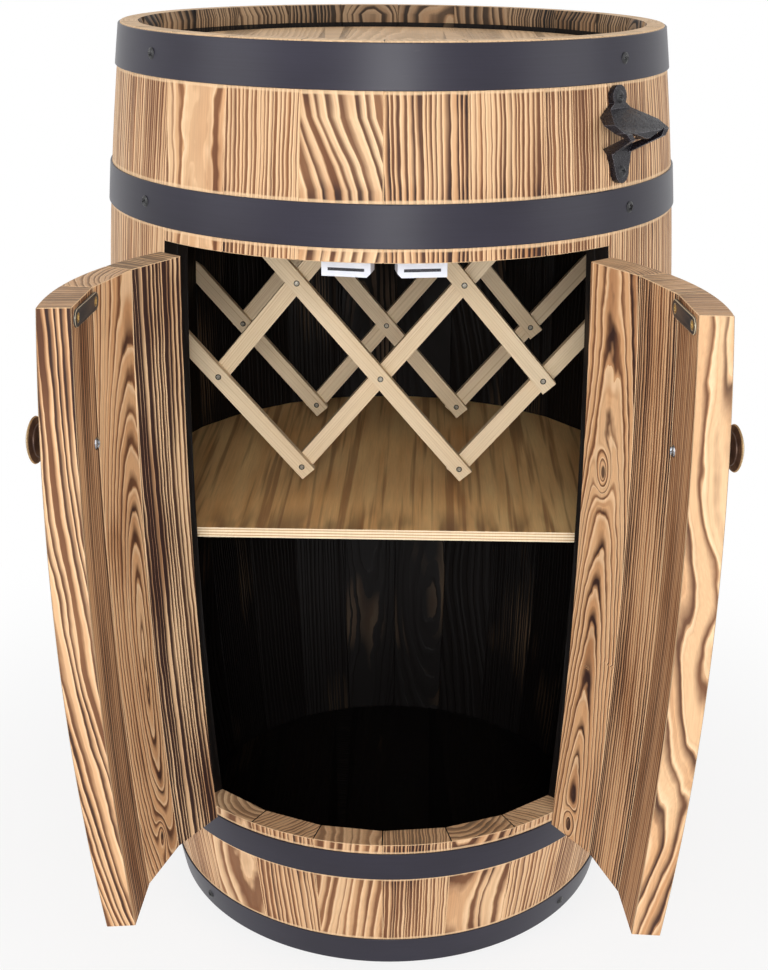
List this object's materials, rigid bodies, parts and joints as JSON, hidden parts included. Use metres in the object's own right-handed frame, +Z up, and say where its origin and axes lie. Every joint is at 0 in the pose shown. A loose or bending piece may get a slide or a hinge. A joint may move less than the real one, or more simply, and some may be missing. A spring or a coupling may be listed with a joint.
{
  "type": "barrel bar cabinet",
  "caption": "Coopered barrel cabinet with two curved hinged doors, a slatted bottle lattice, a shelf, steel hoops and a cast bottle opener.",
  "frame": {"origin": "centre of the barrel on the floor", "axes": "+Z up along the barrel's axis, doors face -Y, +X to the right of someone who faces the doors"},
  "size_m": [0.5082, 0.6154, 0.8],
  "materials": {
    "torched_pine": "torched pine, brushed along the grain, clear satin coat",
    "pale_pine": "planed pine, untreated",
    "birch_plywood": "plywood, lightly torched",
    "hoop_steel": "satin charcoal coat",
    "black_screw": "black, semi-gloss",
    "black_iron": "black, rough casting",
    "antique_brass": "antique brass, worn",
    "zinc_screw": "zinc plated",
    "brass_screw": "brass plated",
    "steel_hinge": "plated steel",
    "dark_steel": "dark plated steel",
    "grey_plastic": "moulded, matt",
    "magnet_steel": "dark magnet between steel pole plates"
  },
  "bodies": {
    "carcass": {"bottle_opener": "black_iron", "bottom_chime_hoop": "hoop_steel", "bottom_head_boards": "torched_pine", "catch_blocks": "pale_pine", "catch_housings": "grey_plastic", "catch_magnets": "magnet_steel", "catch_screws": "brass_screw", "cleat_screws": "brass_screw", "front_lattice_falling_slats": "pale_pine", "front_lattice_rising_slats": "pale_pine", "header_staves": "torched_pine", "hinge_frame_leaves": "steel_hinge", "hinge_frame_screws": "brass_screw", "hinge_pins": "zinc_screw", "hoop_rivets": "black_screw", "lattice_screws": "brass_screw", "lower_bulge_hoop": "hoop_steel", "pan_head_screws": "black_screw", "rear_lattice_falling_slats": "pale_pine", "rear_lattice_rising_slats": "pale_pine", "shelf": "birch_plywood", "shelf_cleats": "pale_pine", "sill_staves": "torched_pine", "stave_01": "torched_pine", "stave_02": "torched_pine", "stave_03": "torched_pine", "stave_04": "torched_pine", "stave_05": "torched_pine", "stave_06": "torched_pine", "stave_07": "torched_pine", "stave_08": "torched_pine", "stave_09": "torched_pine", "stave_10": "torched_pine", "stave_11": "torched_pine", "stave_12": "torched_pine", "stave_13": "torched_pine", "stave_14": "torched_pine", "stave_15": "torched_pine", "stave_16": "torched_pine", "stave_17": "torched_pine", "stave_18": "torched_pine", "top_chime_hoop": "hoop_steel", "top_head_boards": "torched_pine", "upper_bulge_hoop": "hoop_steel"},
    "left_door": {"left_door_hinge_leaves": "steel_hinge", "left_door_hinge_stave": "torched_pine", "left_door_meeting_stave": "torched_pine", "left_door_middle_stave": "torched_pine", "left_door_screws": "brass_screw", "left_knob": "antique_brass", "left_knob_screw": "zinc_screw", "left_strike_plate": "dark_steel"},
    "right_door": {"right_door_hinge_leaves": "steel_hinge", "right_door_hinge_stave": "torched_pine", "right_door_meeting_stave": "torched_pine", "right_door_middle_stave": "torched_pine", "right_door_screws": "brass_screw", "right_knob": "antique_brass", "right_knob_screw": "zinc_screw", "right_strike_plate": "dark_steel"}
  },
  "joints": [
    {"name": "right_door_hinge", "type": "hinge", "parent": "carcass", "child": "right_door", "pos_m": [0.17819, -0.18031, 0.4025], "axis": [0, 0, 1], "range_deg": [-87, 83]},
    {"name": "left_door_hinge", "type": "hinge", "parent": "carcass", "child": "left_door", "pos_m": [-0.17819, -0.18031, 0.4025], "axis": [0, 0, -1], "range_deg": [-84, 86]}
  ]
}
